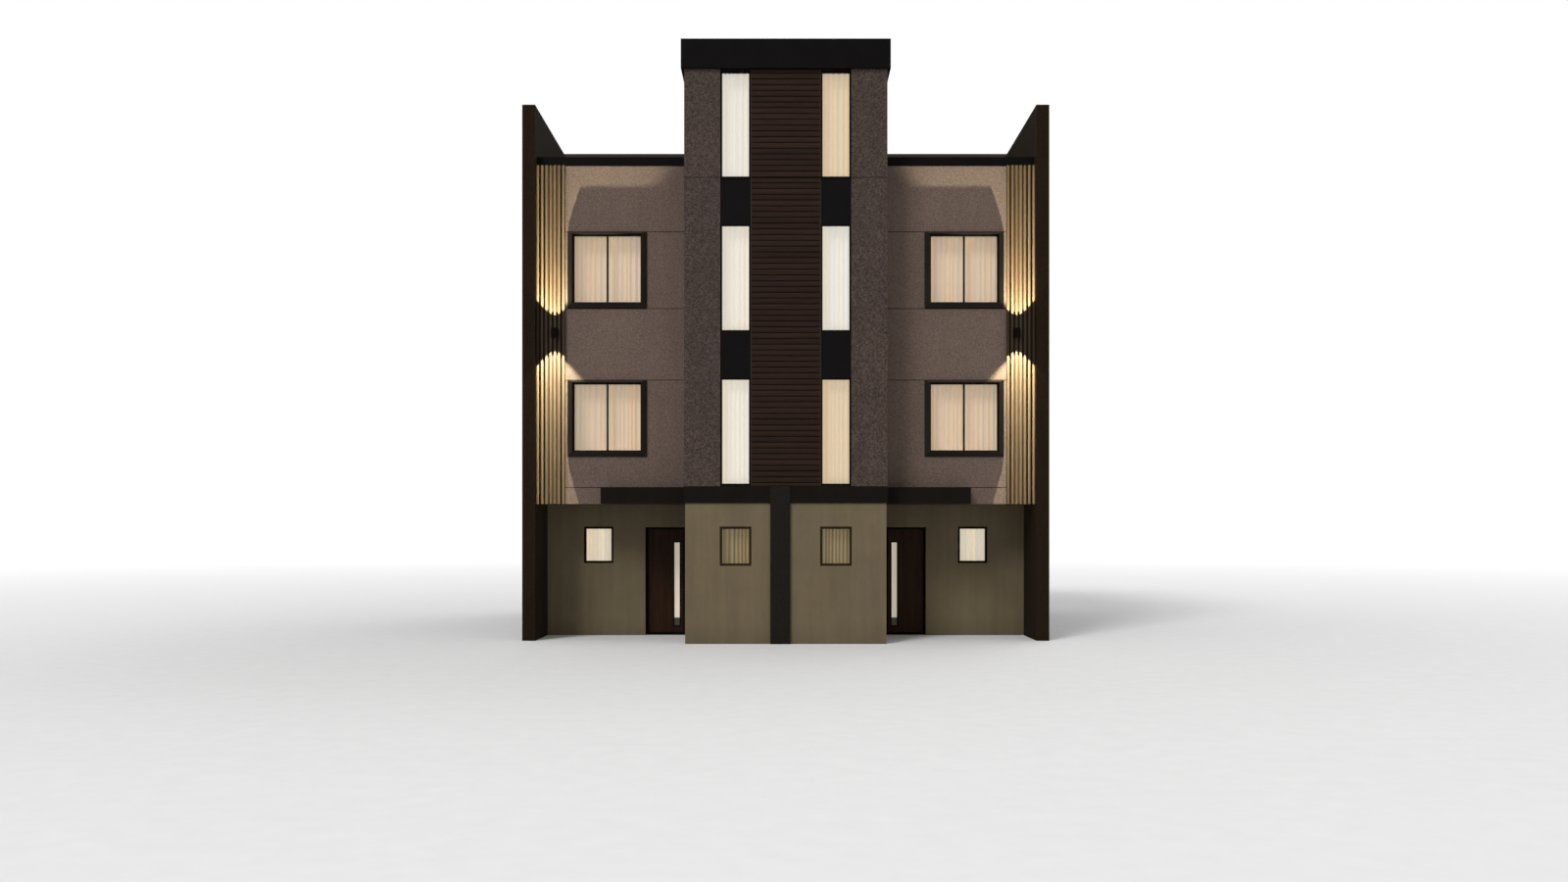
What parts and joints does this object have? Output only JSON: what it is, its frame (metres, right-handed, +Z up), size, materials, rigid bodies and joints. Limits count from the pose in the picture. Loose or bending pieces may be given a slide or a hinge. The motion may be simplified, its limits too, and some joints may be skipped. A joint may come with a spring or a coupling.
{
  "type": "twin villa with a shared tower",
  "caption": "Two mirrored row houses sharing a timber-clad tower, with wings over open porches, roof terraces, party walls and hinged entrance doors.",
  "frame": {"origin": "middle of the plan at ground level", "axes": "-Y points out of the street front, +X to the right seen from the street, +Z up"},
  "size_m": [11.277, 11.295, 12.57],
  "materials": {
    "tower_stone": "rough cast render",
    "wing_render": "fine granular render",
    "plaster": "smooth plaster",
    "dark_render": "painted render",
    "concrete": "trowelled",
    "dark_metal": "satin",
    "cladding_wood": "oiled dark boards",
    "slat_wood": "oiled slats",
    "door_wood": "satin dark veneer",
    "glass": "clear",
    "curtain": "pleated sheer cloth"
  },
  "bodies": {
    "house": {"dark_band": "dark_metal", "door_frame_left": "dark_metal", "door_frame_right": "dark_metal", "door_heads": "plaster", "door_nibs": "plaster", "entrance_wall_left": "plaster", "entrance_wall_right": "plaster", "first_floor_slab": "concrete", "ground_curtains": "curtain", "ground_floor_slab": "concrete", "ground_window_frames": "dark_metal", "ground_window_glass": "glass", "parapet_copings": "dark_metal", "party_wall_left": "dark_render", "party_wall_right": "dark_render", "rear_curtains": "curtain", "rear_roof": "wing_render", "rear_wall": "wing_render", "rear_window_frames": "dark_metal", "rear_window_glass": "glass", "rear_window_surrounds": "dark_metal", "roof_doors": "door_wood", "roof_room_walls": "wing_render", "second_floor_slab": "concrete", "slat_screen_left": "slat_wood", "slat_screen_right": "slat_wood", "spandrel_panels": "dark_metal", "terrace_slab": "concrete", "timber_cladding": "cladding_wood", "tower_back_beam": "tower_stone", "tower_base_pier": "dark_render", "tower_base_side_left": "plaster", "tower_base_side_right": "plaster", "tower_base_wall": "plaster", "tower_curtains": "curtain", "tower_front_wall": "tower_stone", "tower_roof_cap": "dark_metal", "tower_side_wall_left": "tower_stone", "tower_side_wall_right": "tower_stone", "tower_top_floor": "concrete", "tower_window_frames": "dark_metal", "tower_window_glass": "glass", "wall_lamps": "dark_metal", "wing_curtains": "curtain", "wing_wall_left": "wing_render", "wing_wall_right": "wing_render", "wing_window_frames": "dark_metal", "wing_window_glass": "glass", "wing_window_surrounds": "dark_metal"},
    "left_door": {"door_glass_left": "glass", "door_leaf_left": "door_wood"},
    "right_door": {"door_glass_right": "glass", "door_leaf_right": "door_wood"}
  },
  "joints": [
    {"name": "left_door_hinge", "type": "hinge", "parent": "house", "child": "left_door", "pos_m": [-3.128, -3.1625, 1.2], "axis": [0, 0, 1], "range_deg": [0, 90]},
    {"name": "right_door_hinge", "type": "hinge", "parent": "house", "child": "right_door", "pos_m": [3.128, -3.1625, 1.2], "axis": [0, 0, -1], "range_deg": [0, 90]}
  ]
}
